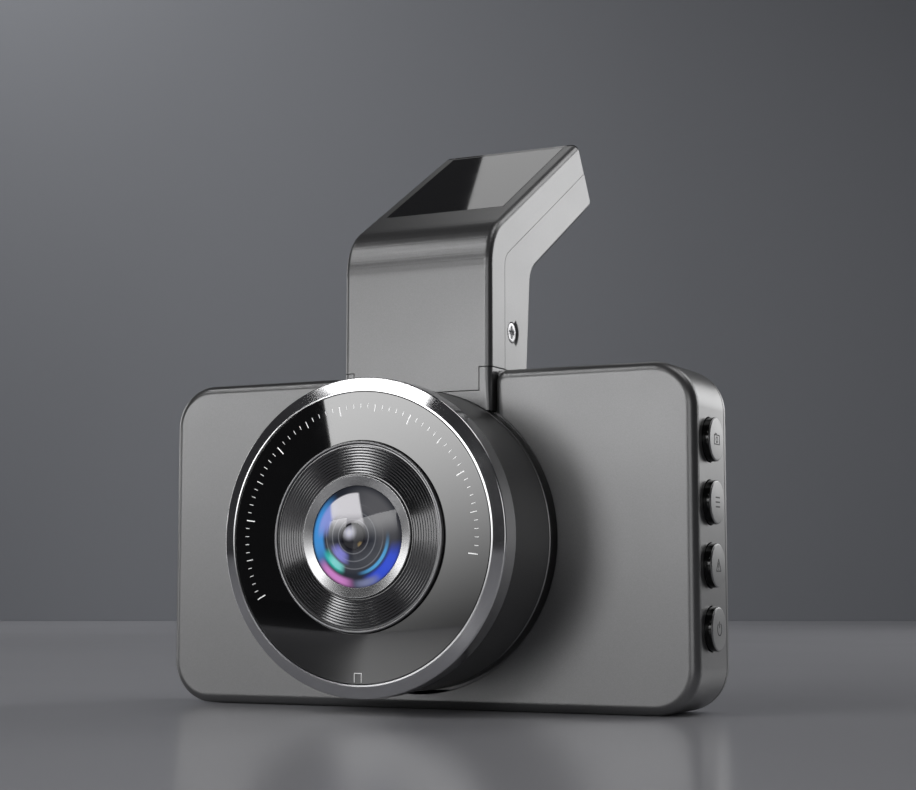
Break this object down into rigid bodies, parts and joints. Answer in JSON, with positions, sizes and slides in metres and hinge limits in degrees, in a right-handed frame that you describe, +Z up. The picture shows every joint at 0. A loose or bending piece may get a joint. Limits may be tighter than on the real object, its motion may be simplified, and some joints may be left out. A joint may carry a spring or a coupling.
{
  "type": "dash camera",
  "caption": "Flat windscreen camera with a ringed lens barrel, side keys, rear screen and a tilting neck that sticks to the glass.",
  "frame": {"origin": "centre of the flat underside, halfway between the front and back faces of the body", "axes": "+X towards the side keys, -Y the way the lens looks, +Z up"},
  "size_m": [0.0942, 0.0623, 0.0968],
  "materials": {
    "housing": "gunmetal satin paint",
    "buttons": "gunmetal satin paint",
    "bright_trim": "polished",
    "lens_plate": "black gloss",
    "baffle": "black satin, grooved",
    "lens_glass": "coated",
    "screen_glass": "black gloss",
    "panel_metal": "satin",
    "filter_glass": "coated",
    "lens_metal": "black anodised",
    "inner_plastic": "moulded black",
    "sheet_metal": "bright",
    "boards": "solder mask",
    "chips": "moulded black",
    "battery_pouch": "foil pouch",
    "card_plastic": "black",
    "flex_film": "amber film",
    "fasteners": "zinc plated",
    "pad_foam": "acrylic foam tape",
    "pad_film": "glossy release film"
  },
  "bodies": {
    "camera": {"front_cover": "housing", "side_frame": "housing", "rear_cover": "housing", "cover_glass": "screen_glass", "display_panel": "panel_metal", "main_board": "boards", "processor": "chips", "memory_chips": "chips", "wifi_module": "sheet_metal", "power_coils": "chips", "battery": "battery_pouch", "speaker": "inner_plastic", "microphone": "sheet_metal", "card_socket": "sheet_metal", "usb_socket": "sheet_metal", "av_jack": "inner_plastic", "key_board": "boards", "key_switches": "inner_plastic", "barrel_housing": "housing", "bezel_ring": "bright_trim", "face_plate": "lens_plate", "accent_ring": "bright_trim", "groove_ring": "baffle", "lens_ring": "bright_trim", "front_lens": "lens_glass", "lens_barrel": "lens_metal", "second_lens": "lens_glass", "rear_lens": "lens_glass", "aperture_stop": "lens_metal", "ir_filter": "filter_glass", "lens_holder": "inner_plastic", "image_sensor": "chips", "sensor_board": "boards", "sensor_screws": "fasteners", "sensor_flex": "flex_film", "display_flex": "flex_film", "frame_screws": "fasteners", "body_screws": "fasteners", "hinge_base": "housing"},
    "bracket": {"bracket_front": "housing", "bracket_rear": "housing", "adhesive_pad": "pad_foam", "pad_film": "pad_film", "pivot_pin": "fasteners", "pivot_screws": "fasteners", "friction_washers": "sheet_metal", "bracket_screws": "fasteners"},
    "card": {"memory_card": "card_plastic"},
    "camera_key": {"button_camera": "buttons", "plunger_camera": "sheet_metal"},
    "menu_key": {"button_menu": "buttons", "plunger_menu": "sheet_metal"},
    "alert_key": {"button_alert": "buttons", "plunger_alert": "sheet_metal"},
    "power_key": {"button_power": "buttons", "plunger_power": "sheet_metal"}
  },
  "joints": [
    {"name": "bracket_tilt", "type": "hinge", "parent": "camera", "child": "bracket", "pos_m": [0, -0.00025, 0.0598], "axis": [1, 0, 0], "range_deg": [-12, 0]},
    {"name": "camera_press", "type": "slide", "parent": "camera", "child": "camera_key", "axis": [-1, 0, 0], "range_m": [0, 0.00035], "stiffness_N_per_m": 2500, "springref_m": -0.0002},
    {"name": "menu_press", "type": "slide", "parent": "camera", "child": "menu_key", "axis": [-1, 0, 0], "range_m": [0, 0.00035], "stiffness_N_per_m": 2500, "springref_m": -0.0002},
    {"name": "alert_press", "type": "slide", "parent": "camera", "child": "alert_key", "axis": [-1, 0, 0], "range_m": [0, 0.00035], "stiffness_N_per_m": 2500, "springref_m": -0.0002},
    {"name": "power_press", "type": "slide", "parent": "camera", "child": "power_key", "axis": [-1, 0, 0], "range_m": [0, 0.00035], "stiffness_N_per_m": 2500, "springref_m": -0.0002},
    {"name": "card_slide", "type": "slide", "parent": "camera", "child": "card", "axis": [-1, 0, 0], "range_m": [0, 0.0145]}
  ]
}
